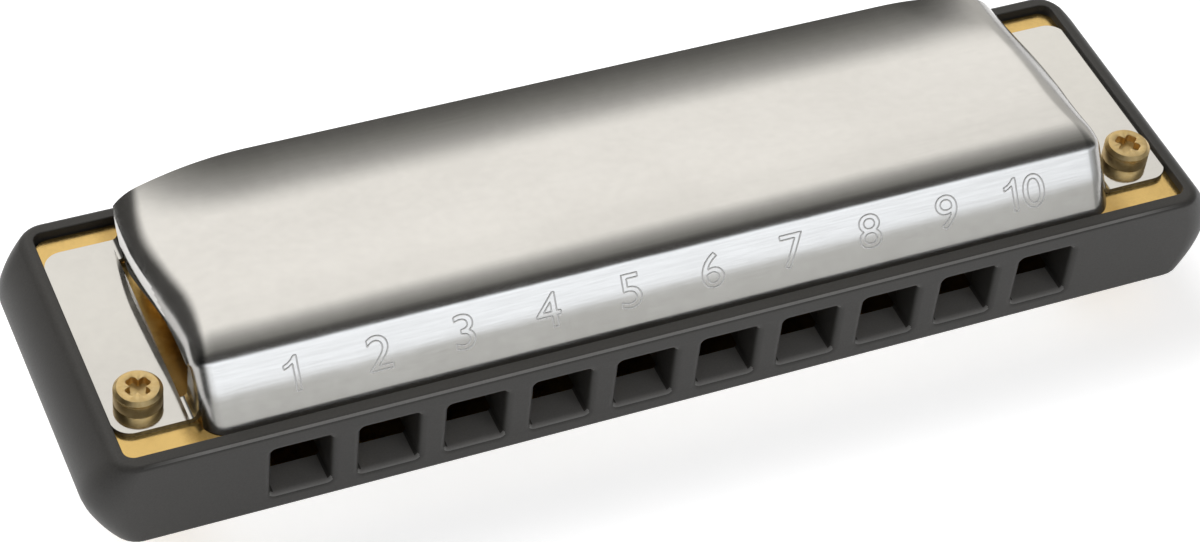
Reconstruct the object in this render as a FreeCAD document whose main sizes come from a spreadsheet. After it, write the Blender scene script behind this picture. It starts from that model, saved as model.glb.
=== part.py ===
# Ten-hole diatonic harmonica in millimetres
# X runs along the length with hole one at -X, the mouthpiece faces -Y and +Z is up
# The origin is under the middle of the instrument, on the surface that it rests on
import FreeCAD, Part
import Sketcher
import math
import os

doc = FreeCAD.newDocument("Harmonica")
Vector = FreeCAD.Vector

# Driving dimensions, one named cell each
driving = {
    # Comb, the moulded body between the plates
    "holeCount": 10,
    "holePitch": 7.5,
    "combDepth": 28.4,
    "combHeight": 9.0,
    "endBulge": 1.4,
    "combCorner": 3.2,
    "combRounding": 0.85,
    "frontWall": 1.0,
    "rearWall": 1.2,
    "endWall": 3.1,
    "recessCorner": 1.5,
    "coreThickness": 5.6,
    "mouthWidth": 5.0,
    "mouthHeight": 5.0,
    "mouthCorner": 0.6,
    "mouthLip": 0.25,
    "mouthFloor": 3.4,
    "chamberWidth": 5.3,
    "chamberTail": 0.8,
    # Reed plates
    "plateThickness": 0.9,
    "plateClearance": 0.2,
    # Reeds, longest at hole one. Their lengths are shares of the room between the pads at both ends
    "longestReedShare": 0.887,
    "shortestReedShare": 0.574,
    "reedWidth": 2.2,
    "reedRoot": 0.28,
    "reedWaist": 0.17,
    "reedTip": 0.24,
    "slotClearance": 0.06,
    "padGap": 0.2,
    "padLength": 3.0,
    "padWidth": 3.0,
    "padThickness": 0.3,
    "rivetRadius": 0.45,
    "rivetHeadRadius": 0.8,
    "rivetHeadHeight": 0.3,
    "rivetClearance": 0.02,
    # Screws that hold each plate to the comb
    "plateScrewRadius": 0.7,
    "plateScrewHead": 1.35,
    "plateScrewLength": 3.0,
    "plateScrewSlot": 0.35,
    "plateScrewSlotDepth": 0.35,
    "plateScrewClearance": 0.03,
    "endScrewGap": 0.4,
    "rearScrewInset": 3.4,
    # Pressed covers. Their ends are set from the last holes, and the comb's ends from the flanges
    "coverThickness": 0.45,
    "crownHeight": 9.7,
    "domeEnd": 7.45,
    "domeFront": 1.85,
    "domeRear": 1.95,
    "domeLift": 0.25,
    "slopeAngle": 54.5,
    "shoulderAngle": 25,
    "fallAngle": 8,
    "shoulderRadius": 2.2,
    "crownFrontRadius": 5.0,
    "crownRearRadius": 20.0,
    "crownLand": 2.0,
    "flareLength": 5.6,
    "flareTurnShare": 0.6,
    "flareDrop": 2.5,
    "flareFade": 11.7,
    "endRoll": 3.0,
    "windowDrop": 2.3,
    "flangeFront": 4.05,
    "flangeRear": 3.5,
    "flangeWidth": 6.63,
    "flangeGap": 0.37,
    "flangeCorner": 1.7,
    "frontLeg": 2.45,
    "rearLeg": 2.3,
    "bendRadius": 0.6,
    # Cover screws and their nuts
    "screwSetback": 2.83,
    "screwInset": 7.3,
    "screwRadius": 1.0,
    "screwHeadRadius": 2.0,
    "screwHeadHeight": 1.6,
    "screwHeadChamfer": 0.28,
    "driveArm": 1.15,
    "driveWidth": 0.8,
    "driveDepth": 0.9,
    "screwClearance": 0.15,
    "nutFlats": 4.4,
    "nutHeight": 1.6,
    "nutClearance": 0.02,
    "overrun": 1.0,
}
sheet = doc.addObject("Spreadsheet::Sheet", "Sizes")
for row, (alias, value) in enumerate(driving.items(), start=1):
    sheet.set(f"A{row}", alias)
    sheet.set(f"B{row}", str(value))
    sheet.setAlias(f"B{row}", alias)
doc.recompute()


def cell(text):
    """The value of an expression written in the sheet's aliases"""
    return sheet.evalExpression(text)


def size(alias):
    return cell("Sizes." + alias)


def bind(item, **formulas):
    for prop, formula in formulas.items():
        item.setExpression(prop, formula)
    return item


def place(item, x="0", y="0", z="0"):
    """Places an item by formulas for its base point"""
    for axis, formula in zip("xyz", (x, y, z)):
        item.setExpression(f"Placement.Base.{axis}", formula)
    return item


# Formulas that several pieces share, measured from the comb's front face and from its middle plane
plateFace = "(Sizes.coreThickness / 2)"
plateOuter = "(Sizes.coreThickness / 2 + Sizes.plateThickness)"
flangeOuter = "(Sizes.coreThickness / 2 + Sizes.plateThickness + Sizes.coverThickness)"
plateFront = "(Sizes.frontWall + Sizes.plateClearance)"
plateRear = "(Sizes.combDepth - Sizes.rearWall - Sizes.plateClearance)"
rowHalf = "(Sizes.holePitch * (Sizes.holeCount - 1) / 2)"
domeHalf = f"({rowHalf} + Sizes.domeEnd)"
flangeReach = f"({domeHalf} + Sizes.flangeWidth)"
recessHalf = f"({flangeReach} + Sizes.flangeGap)"
combHalf = f"({recessHalf} + Sizes.endWall)"
plateEnd = f"({recessHalf} - Sizes.plateClearance)"
reedStart = "(Sizes.mouthFloor + Sizes.padGap + Sizes.padLength)"
reedRoom = "(Sizes.combDepth - Sizes.rearWall - Sizes.mouthFloor - 2 * Sizes.padLength)"
screwX = f"({flangeReach} - Sizes.screwSetback)"
holeRadius = "(Sizes.screwRadius + Sizes.screwClearance)"
rivetHole = "(Sizes.rivetRadius + Sizes.rivetClearance)"
plateScrewHole = "(Sizes.plateScrewRadius + Sizes.plateScrewClearance)"

# Shares of a tongue's length where its root ends, its waist starts and ends, and its tip starts
tongueShares = (0.25, 0.45, 0.72, 0.85)
# The flat top of a rivet's head, and the middle of the screw's drive, as shares of their widths
headCrownShare = 0.6
driveMiddleShare = 0.8
# Where the cover's sections stand along the fading part of its flare
fadeShares = (0, 0.35, 0.7, 1)
tolerance = 1e-4

subparts = []


def finishPiece(item, label, x="0", y="0", z="0"):
    """Names a sub-part and sets its base point, given from the comb's front face and middle plane"""
    item.Label = label
    place(item, x, f"{y} - Sizes.combDepth / 2", f"{z} + Sizes.crownHeight")
    subparts.append(item)
    return item


def holeX(index):
    return f"(Sizes.holePitch * ({index} - (Sizes.holeCount - 1) / 2))"


def reedLength(index):
    step = "(Sizes.longestReedShare - Sizes.shortestReedShare) / (Sizes.holeCount - 1)"
    return f"({reedRoom} * (Sizes.longestReedShare - {index} * {step}))"


def slotRear(index):
    return f"({reedStart} + {reedLength(index)} + 2 * Sizes.slotClearance)"


holes = range(int(driving["holeCount"]))


# Sketch helpers
def sketchOn(body, name, role, lift=None):
    sketch = body.newObject("Sketcher::SketchObject", name)
    plane = next(f for f in body.Origin.OriginFeatures if f.Role == role)
    sketch.AttachmentSupport = [(plane, "")]
    sketch.MapMode = "FlatFace"
    if lift:
        sketch.setExpression("AttachmentOffset.Base.z", lift)
    return sketch


def outline(sketch, corners, bulges={}):
    """Closed loop through corners given as pairs of formulas, run anticlockwise. An edge listed in
    bulges is an outward arc of the radius given there. Every corner is tied to the sheet."""
    points = [Vector(cell(x), cell(y), 0) for x, y in corners]
    count = len(points)
    curves = []
    for i in range(count):
        start, end = points[i], points[(i + 1) % count]
        if i in bulges:
            radius = cell(bulges[i])
            chord = end - start
            sagitta = radius - math.sqrt(max(radius ** 2 - chord.Length ** 2 / 4, 0))
            outward = Vector(chord.y, -chord.x, 0).normalize()
            curves.append(Part.Arc(start, (start + end) / 2 + outward * sagitta, end))
        else:
            curves.append(Part.LineSegment(start, end))
    first = sketch.GeometryCount
    sketch.addGeometry(curves, False)
    base = sketch.ConstraintCount
    rules = [Sketcher.Constraint("Coincident", first + i, 2, first + (i + 1) % count, 1)
             for i in range(count)]
    formulas = []
    for i, (x, y) in enumerate(corners):
        rules.append(Sketcher.Constraint("DistanceX", -1, 1, first + i, 1, points[i].x))
        formulas.append(x)
        rules.append(Sketcher.Constraint("DistanceY", -1, 1, first + i, 1, points[i].y))
        formulas.append(y)
    for i, radius in bulges.items():
        rules.append(Sketcher.Constraint("Radius", first + i, cell(radius)))
        formulas.append(radius)
    sketch.addConstraint(rules)
    for i, formula in enumerate(formulas):
        sketch.setExpression(f"Constraints[{base + count + i}]", formula)


def rectangle(sketch, x0, x1, y0, y1, corner=None):
    """Rectangle between two X and two Y formulas, with rounded corners where a radius is given"""
    if corner is None:
        outline(sketch, [(x0, y0), (x1, y0), (x1, y1), (x0, y1)])
        return
    outline(sketch,
            [(f"{x0} + {corner}", y0), (f"{x1} - {corner}", y0),
             (x1, f"{y0} + {corner}"), (x1, f"{y1} - {corner}"),
             (f"{x1} - {corner}", y1), (f"{x0} + {corner}", y1),
             (x0, f"{y1} - {corner}"), (x0, f"{y0} + {corner}")],
            {i: corner for i in (1, 3, 5, 7)})


def circle(sketch, x, y, radius):
    first = sketch.GeometryCount
    base = sketch.ConstraintCount
    centre = Vector(cell(x), cell(y), 0)
    sketch.addGeometry(Part.Circle(centre, Vector(0, 0, 1), cell(radius)), False)
    sketch.addConstraint([
        Sketcher.Constraint("DistanceX", -1, 1, first, 3, centre.x),
        Sketcher.Constraint("DistanceY", -1, 1, first, 3, centre.y),
        Sketcher.Constraint("Radius", first, cell(radius))])
    for i, formula in enumerate((x, y, radius)):
        sketch.setExpression(f"Constraints[{base + i}]", formula)


def pad(body, name, sketch, length, reverse=False, symmetric=False):
    feature = body.newObject("PartDesign::Pad", name)
    feature.Profile = sketch
    feature.Reversed = reverse
    feature.SideType = "Symmetric" if symmetric else "One side"
    bind(feature, Length=length)
    return feature


def pocket(body, name, sketch, length, reverse=False, symmetric=False):
    """Cuts a sketch's outline away, and checks that the cut took something"""
    doc.recompute()
    before = body.Shape.Volume
    feature = body.newObject("PartDesign::Pocket", name)
    feature.Profile = sketch
    feature.Reversed = reverse
    feature.SideType = "Symmetric" if symmetric else "One side"
    bind(feature, Length=length)
    doc.recompute()
    if body.Shape.Volume >= before:
        raise RuntimeError(f"{name} cuts nothing")
    return feature


def dressEdges(body, name, kind, size, chosen):
    """Rounds or bevels the edges of the body's last feature that the test picks"""
    doc.recompute()
    tip = body.Tip
    names = [f"Edge{i}" for i, edge in enumerate(tip.Shape.Edges, start=1) if chosen(edge)]
    feature = body.newObject("PartDesign::" + kind, name)
    feature.Base = (tip, names)
    bind(feature, **{"Radius" if kind == "Fillet" else "Size": size})
    doc.recompute()
    return feature


def lies(edge, axis, level):
    """True where the whole edge lies at one level of an axis"""
    box = edge.BoundBox
    low, high = {"x": (box.XMin, box.XMax), "y": (box.YMin, box.YMax), "z": (box.ZMin, box.ZMax)}[axis]
    return abs(low - level) < tolerance and abs(high - level) < tolerance


# Solid helpers
def block(name, x, y, z, length, width, height):
    item = doc.addObject("Part::Box", name)
    bind(item, Length=length, Width=width, Height=height)
    return place(item, x, y, z)


def rod(name, x, y, z, radius, height):
    item = doc.addObject("Part::Cylinder", name)
    bind(item, Radius=radius, Height=height)
    return place(item, x, y, z)


def cone(name, x, y, z, lowRadius, highRadius, height):
    item = doc.addObject("Part::Cone", name)
    bind(item, Radius1=lowRadius, Radius2=highRadius, Height=height)
    return place(item, x, y, z)


def fuse(name, *pieces):
    item = doc.addObject("Part::MultiFuse", name)
    item.Shapes = pieces
    return item


def cut(name, base, tool):
    item = doc.addObject("Part::Cut", name)
    item.Base = base
    item.Tool = tool
    return item


def group(name, pieces):
    item = doc.addObject("Part::Compound", name)
    item.Links = pieces
    return item


# Comb: bulged ends, a recess on each side for the plates, ten mouths and ten chambers
def makeComb():
    body = doc.addObject("PartDesign::Body", "comb")
    halfFlat = f"({combHalf} - Sizes.endBulge)"
    halfHeight = "(Sizes.combHeight / 2)"
    endRadius = ("(((Sizes.combHeight / 2) ^ 2 + Sizes.endBulge ^ 2)"
                 " / (2 * Sizes.endBulge))")
    front = sketchOn(body, "combProfile", "XZ_Plane")
    outline(front, [(f"-{halfFlat}", f"-{halfHeight}"), (halfFlat, f"-{halfHeight}"),
                    (halfFlat, halfHeight), (f"-{halfFlat}", halfHeight)],
            {1: endRadius, 3: endRadius})
    pad(body, "combPad", front, "Sizes.combDepth", reverse=True)
    depth = cell("Sizes.combDepth")
    half = cell(halfHeight)

    def corner(edge):
        box = edge.BoundBox
        return box.ZLength > half and (lies(edge, "y", 0) or lies(edge, "y", depth))

    dressEdges(body, "combCorners", "Fillet", "Sizes.combCorner", corner)
    dressEdges(body, "faceEdges", "Fillet", "Sizes.combRounding",
               lambda edge: lies(edge, "y", 0) or lies(edge, "y", depth))

    for name, side in (("upper", 1), ("lower", -1)):
        recess = sketchOn(body, name + "RecessOutline", "XY_Plane", f"{side} * {plateFace}")
        rectangle(recess, f"-{recessHalf}", recessHalf, "Sizes.frontWall",
                  "(Sizes.combDepth - Sizes.rearWall)", "Sizes.recessCorner")
        pocket(body, name + "Recess", recess, "Sizes.combHeight", reverse=side > 0)

    # Each chamber is open to both plates behind its mouth
    chambers = sketchOn(body, "chamberOutlines", "XY_Plane")
    for i in holes:
        left, right = (f"({holeX(i)} + {side} * Sizes.chamberWidth / 2)" for side in (-1, 1))
        rectangle(chambers, left, right, "Sizes.mouthFloor", f"{slotRear(i)} + Sizes.chamberTail",
                  "Sizes.mouthCorner")
    pocket(body, "chambers", chambers, "Sizes.combHeight", symmetric=True)

    mouth = sketchOn(body, "mouthOutline", "XZ_Plane")
    rectangle(mouth, f"{holeX(0)} - Sizes.mouthWidth / 2", f"{holeX(0)} + Sizes.mouthWidth / 2",
              "-Sizes.mouthHeight / 2", "Sizes.mouthHeight / 2", "Sizes.mouthCorner")
    firstMouth = pocket(body, "mouth", mouth, "Sizes.mouthFloor + Sizes.mouthCorner")
    row = body.newObject("PartDesign::LinearPattern", "mouthRow")
    row.Originals = [firstMouth]
    row.Direction = (mouth, ["H_Axis"])
    bind(row, Length=f"2 * {rowHalf}", Occurrences="Sizes.holeCount")
    body.Tip = row

    pilots = sketchOn(body, "screwHoles", "XY_Plane")
    for side in (-1, 1):
        circle(pilots, f"{side} * {screwX}", "Sizes.screwInset", holeRadius)
    pocket(body, "coverScrewHoles", pilots, "Sizes.combHeight", symmetric=True)
    pilotDepth = "(Sizes.plateScrewLength - Sizes.plateThickness + Sizes.plateScrewClearance)"
    for name, side in (("upper", 1), ("lower", -1)):
        sketch = sketchOn(body, name + "Pilots", "XY_Plane", f"{side} * {plateFace}")
        for x, y in plateScrewPlaces():
            circle(sketch, x, y, plateScrewHole)
        pocket(body, name + "PilotHoles", sketch, pilotDepth, reverse=side < 0)

    mouthReach = cell(f"{rowHalf} + Sizes.mouthWidth")
    dressEdges(body, "mouthLips", "Chamfer", "Sizes.mouthLip",
               lambda edge: lies(edge, "y", 0) and edge.BoundBox.XLength < cell("Sizes.holePitch")
               and abs(edge.BoundBox.Center.x) < mouthReach)
    return finishPiece(body, "comb")


def plateScrewPlaces():
    """Two screws past the end chambers and two behind the short rear ends of the slots"""
    endX = f"({rowHalf} + Sizes.chamberWidth / 2 + Sizes.plateScrewHead + Sizes.endScrewGap)"
    rearX = "(Sizes.holePitch * 2)"
    middle = "(Sizes.combDepth / 2)"
    rear = "(Sizes.combDepth - Sizes.rearScrewInset)"
    return [(f"-{endX}", middle), (endX, middle), (f"-{rearX}", rear), (rearX, rear)]



# Reed plates: flat brass with ten slots, rivet holes, and countersunk holes for their screws
def makePlate(label, side, rivetY):
    body = doc.addObject("PartDesign::Body", label)
    low = plateFace if side > 0 else f"-{plateOuter}"
    shape = sketchOn(body, label + "Outline", "XY_Plane", low)
    rectangle(shape, f"-{plateEnd}", plateEnd, plateFront, plateRear, "Sizes.recessCorner")
    pad(body, label + "Pad", shape, "Sizes.plateThickness")

    slots = sketchOn(body, label + "Slots", "XY_Plane", low)
    halfSlot = "(Sizes.reedWidth / 2 + Sizes.slotClearance)"
    for i in holes:
        rectangle(slots, f"{holeX(i)} - {halfSlot}", f"{holeX(i)} + {halfSlot}",
                  reedStart, slotRear(i))
    pocket(body, label + "SlotCut", slots, "Sizes.plateThickness", reverse=True)

    rounds = sketchOn(body, label + "Rounds", "XY_Plane", low)
    for end in (-1, 1):
        circle(rounds, f"{end} * {screwX}", "Sizes.screwInset", holeRadius)
    for i in holes:
        circle(rounds, holeX(i), rivetY(i), rivetHole)
    for x, y in plateScrewPlaces():
        circle(rounds, x, y, plateScrewHole)
    pocket(body, label + "RoundCut", rounds, "Sizes.plateThickness", reverse=True)

    outer = cell(f"{side} * {plateOuter}")
    radius = cell(plateScrewHole)

    def sinks(edge):
        return lies(edge, "z", outer) and edge.Closed and abs(edge.Curve.Radius - radius) < tolerance

    dressEdges(body, label + "Sinks", "Chamfer", "Sizes.plateScrewHead - Sizes.plateScrewRadius", sinks)
    return finishPiece(body, label)


# Reeds: a tongue over each slot, ground thin at its waist, and a pad that a rivet holds down
def makeTongue(label, index, root, face, towards):
    """The tongue's own origin is on its bending line, at the plate's face"""
    length = reedLength(index)
    body = doc.addObject("PartDesign::Body", label)
    side = sketchOn(body, label + "Profile", "YZ_Plane")
    rootEnd, waistStart, waistEnd, tipStart = (f"{towards} * {share} * {length}" for share in tongueShares)
    end = f"{towards} * {length}"
    outline(side, [("0", "0"), ("0", "-Sizes.reedRoot"), (rootEnd, "-Sizes.reedRoot"),
                   (waistStart, "-Sizes.reedWaist"), (waistEnd, "-Sizes.reedWaist"),
                   (tipStart, "-Sizes.reedTip"), (end, "-Sizes.reedTip"), (end, "0")])
    pad(body, label + "Pad", side, "Sizes.reedWidth", symmetric=True)
    return finishPiece(body, label, holeX(index), root, face)


def makeReedFixings(row, face, rivetY, plateSpan):
    """Ten pads on one face of a plate, and ten rivets through pads and plate"""
    pads = []
    rivets = []
    padFace = f"({face} - Sizes.padThickness)"
    for i in holes:
        number = i + 1
        plain = block(f"{row}PadBlank{number}", f"{holeX(i)} - Sizes.padWidth / 2",
                      f"{rivetY(i)} - Sizes.padLength / 2", padFace,
                      "Sizes.padWidth", "Sizes.padLength", "Sizes.padThickness")
        hole = rod(f"{row}PadHole{number}", holeX(i), rivetY(i), padFace, rivetHole,
                   "Sizes.padThickness")
        pads.append(cut(f"{row}PadCut{number}", plain, hole))
        head = cone(f"{row}RivetHead{number}", holeX(i), rivetY(i),
                    f"{padFace} - Sizes.rivetHeadHeight", f"Sizes.rivetHeadRadius * {headCrownShare}",
                    "Sizes.rivetHeadRadius", "Sizes.rivetHeadHeight")
        shank = rod(f"{row}RivetShank{number}", holeX(i), rivetY(i), padFace, "Sizes.rivetRadius",
                    plateSpan)
        rivets.append(fuse(f"{row}Rivet{number}", head, shank))
    finishPiece(group(f"{row}Pads", pads), f"{row}_reed_pads")
    finishPiece(group(f"{row}Rivets", rivets), f"{row}_reed_rivets")


# Screws and nuts
def makePlateScrews(label, side):
    """Slotted countersunk screws, flush with the plate's outer face"""
    screws = []
    sink = "(Sizes.plateScrewHead - Sizes.plateScrewRadius)"
    for number, (x, y) in enumerate(plateScrewPlaces(), start=1):
        if side > 0:
            head = cone(f"{label}Head{number}", x, y, f"{plateOuter} - {sink}",
                        "Sizes.plateScrewRadius", "Sizes.plateScrewHead", sink)
            shankLow = f"{plateOuter} - Sizes.plateScrewLength"
            slotLow = f"{plateOuter} - Sizes.plateScrewSlotDepth"
        else:
            head = cone(f"{label}Head{number}", x, y, f"-{plateOuter}",
                        "Sizes.plateScrewHead", "Sizes.plateScrewRadius", sink)
            shankLow = f"-{plateOuter} + {sink}"
            slotLow = f"-{plateOuter}"
        shank = rod(f"{label}Shank{number}", x, y, shankLow, "Sizes.plateScrewRadius",
                    f"Sizes.plateScrewLength - {sink}")
        slot = block(f"{label}Slot{number}", f"{x} - Sizes.plateScrewHead",
                     f"{y} - Sizes.plateScrewSlot / 2", slotLow,
                     "2 * Sizes.plateScrewHead", "Sizes.plateScrewSlot", "Sizes.plateScrewSlotDepth")
        whole = fuse(f"{label}Blank{number}", head, shank)
        screws.append(cut(f"{label}Screw{number}", whole, slot))
    finishPiece(group(label, screws), label)


def makeCoverScrews():
    """A brass screw at each end, with a bevelled cheese head and a four-lobed drive"""
    screws = []
    y = "Sizes.screwInset"
    top = f"({flangeOuter} + Sizes.screwHeadHeight)"
    for name, side in (("left", -1), ("right", 1)):
        x = f"({side} * {screwX})"
        shank = rod(name + "Shank", x, y, f"-{flangeOuter} - Sizes.nutHeight", "Sizes.screwRadius",
                    f"2 * {flangeOuter} + Sizes.nutHeight")
        head = rod(name + "Head", x, y, flangeOuter, "Sizes.screwHeadRadius",
                   "Sizes.screwHeadHeight - Sizes.screwHeadChamfer")
        bevel = cone(name + "Bevel", x, y, f"{top} - Sizes.screwHeadChamfer",
                     "Sizes.screwHeadRadius", "Sizes.screwHeadRadius - Sizes.screwHeadChamfer",
                     "Sizes.screwHeadChamfer")
        low = f"{top} - Sizes.driveDepth"
        tall = "Sizes.driveDepth"
        along = block(name + "DriveAlong", f"{x} - Sizes.driveArm", f"{y} - Sizes.driveWidth / 2", low,
                      "2 * Sizes.driveArm", "Sizes.driveWidth", tall)
        across = block(name + "DriveAcross", f"{x} - Sizes.driveWidth / 2", f"{y} - Sizes.driveArm", low,
                       "Sizes.driveWidth", "2 * Sizes.driveArm", tall)
        middle = rod(name + "DriveMiddle", x, y, low, f"Sizes.driveWidth * {driveMiddleShare}", tall)
        drive = fuse(name + "Drive", along, across, middle)
        screws.append(cut(name + "CoverScrew", fuse(name + "CoverBlank", shank, head, bevel), drive))
    finishPiece(group("coverScrews", screws), "cover_screws")


def makeCoverNuts():
    nuts = []
    y = "Sizes.screwInset"
    low = f"-{flangeOuter} - Sizes.nutHeight"
    for name, side in (("left", -1), ("right", 1)):
        x = f"({side} * {screwX})"
        blank = doc.addObject("Part::Prism", name + "NutBlank")
        blank.Polygon = 6
        bind(blank, Circumradius="Sizes.nutFlats / sqrt(3)", Height="Sizes.nutHeight")
        place(blank, x, y, low)
        bore = rod(name + "NutBore", x, y, low, "Sizes.screwRadius + Sizes.nutClearance",
                   "Sizes.nutHeight")
        nuts.append(cut(name + "Nut", blank, bore))
    finishPiece(group("coverNuts", nuts), "cover_nuts")


# Covers: one pressed sheet each, with a numbered slope in front, a broad crown, a flared rear edge,
# rolled ends over an open window, and a flange at each end on two bent legs
def shifted(x, y, z, angle, inset, lower=0.0):
    """A point of the sheet's outer line, whose tangent has this angle, moved in square to it and down"""
    return Vector(x, y + inset * math.sin(angle), z - inset * math.cos(angle) - lower)


def crownLine(x, inset, floor, lower=0.0):
    """The sheet's line across the cover at x, from its front foot on the floor to its flare: slope,
    shoulder, crown and fall. Also gives the flare's start as y and z on the outer line."""
    slope, shoulder, fall = (math.radians(size(name)) for name in ("slopeAngle", "shoulderAngle", "fallAngle"))
    shoulderRadius, frontRadius, rearRadius = (
        size(name) for name in ("shoulderRadius", "crownFrontRadius", "crownRearRadius"))
    crown = size("crownHeight")
    footZ = cell(plateOuter) + size("domeLift")
    slopeTop = (crown - shoulderRadius * (math.cos(shoulder) - math.cos(slope))
                - frontRadius * (1 - math.cos(shoulder)))
    slopeEnd = size("domeFront") + (slopeTop - footZ) / math.tan(slope)
    shoulderY = slopeEnd + shoulderRadius * math.sin(slope)
    shoulderZ = slopeTop - shoulderRadius * math.cos(slope)
    crownY = shoulderY + (frontRadius - shoulderRadius) * math.sin(shoulder)
    landEnd = crownY + size("crownLand")
    flareY = size("combDepth") - size("domeRear") - size("flareLength")
    fallStart = landEnd + rearRadius * math.sin(fall)
    flareZ = crown - rearRadius * (1 - math.cos(fall)) - (flareY - fallStart) * math.tan(fall)

    def bend(y, z, radius, start, end):
        angles = (start, (start + end) / 2, end)
        return Part.Arc(*(shifted(x, y - radius * math.sin(a), z + radius * math.cos(a), a, inset, lower)
                          for a in angles))

    shoulderBend = bend(shoulderY, shoulderZ, shoulderRadius, slope, shoulder)
    frontBend = bend(crownY, crown - frontRadius, frontRadius, shoulder, 0)
    rearBend = bend(landEnd, crown - rearRadius, rearRadius, 0, -fall)
    slopeFoot = shifted(x, size("domeFront"), footZ, slope, inset, lower)
    foot = Vector(x, slopeFoot.y - (slopeFoot.z - floor) / math.tan(slope), floor)
    flareStart = shifted(x, flareY, flareZ, -fall, inset, lower)
    line = [Part.LineSegment(foot, shoulderBend.StartPoint), shoulderBend, frontBend,
            Part.LineSegment(frontBend.EndPoint, rearBend.StartPoint), rearBend,
            Part.LineSegment(rearBend.EndPoint, flareStart)]
    return line, (flareY, flareZ)


def flareLine(x, rise, inset, floor, reach):
    """The flare's line at x, from the crown's fall to the rear edge at the height rise, run on by reach"""
    crown, (flareY, flareZ) = crownLine(x, inset, floor)
    fall = math.radians(size("fallAngle"))
    rear = size("combDepth") - size("domeRear")
    turnRun = (rear - flareY) * size("flareTurnShare")
    flareAngle = math.atan2(rise - flareZ + turnRun * math.tan(fall), rear - flareY - turnRun)
    start = crown[-1].EndPoint
    tip = shifted(x, rear, rise, flareAngle, inset)
    lead = Vector(0, math.cos(fall), -math.sin(fall))
    run = Vector(0, math.cos(flareAngle), math.sin(flareAngle))
    # The curve's middle pole is where its end tangents cross
    across = tip - start
    turn = start + lead * ((across.y * run.z - across.z * run.y) / (lead.y * run.z - lead.z * run.y))
    flare = Part.BezierCurve()
    flare.setPoles([start, turn, tip])
    return [flare, Part.LineSegment(tip, tip + run * reach)] if reach else [flare]


def closedFace(line, floor):
    """The face between a line across the cover and the floor"""
    start, end = line[0].StartPoint, line[-1].EndPoint
    corners = [end, Vector(end.x, end.y, floor), Vector(start.x, start.y, floor)]
    if start.z > floor + tolerance:
        corners.append(start)
    sides = [Part.LineSegment(*pair) for pair in zip(corners, corners[1:])]
    return Part.Face(Part.Wire([curve.toShape() for curve in line + sides]))


def domeSolid(inset, floor, reach):
    """The space under the sheet, with the flare fading towards each end and the ends rolled over"""
    half = cell(domeHalf) - inset
    fade = size("flareFade")
    straight = cell(domeHalf) - fade

    def flareFace(x):
        rise = size("crownHeight") - size("flareDrop") * ((abs(x) - straight) / fade) ** 2
        return closedFace(flareLine(x, rise, inset, floor, reach), floor)

    front = closedFace(crownLine(-half, inset, floor)[0], floor).extrude(Vector(2 * half, 0, 0))
    pieces = [flareFace(-straight).extrude(Vector(2 * straight, 0, 0))]
    for side in (-1, 1):
        stations = [side * (straight + (half - straight) * share) for share in fadeShares]
        pieces.append(Part.makeLoft([flareFace(x).OuterWire for x in stations], True, False))
    whole = front.fuse(pieces).removeSplitter()
    rear = size("combDepth") - size("domeRear") - tolerance

    def rolled(edge):
        box = edge.BoundBox
        return (abs(abs(edge.CenterOfMass.x) - half) < tolerance
                and box.ZMax > floor + tolerance and box.YMin < rear)

    return whole.makeFillet(size("endRoll") - inset, [edge for edge in whole.Edges if rolled(edge)])


def slab(x0, x1, y0, y1, z0, z1):
    return Part.makeBox(x1 - x0, y1 - y0, z1 - z0, Vector(x0, y0, z0))


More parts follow.
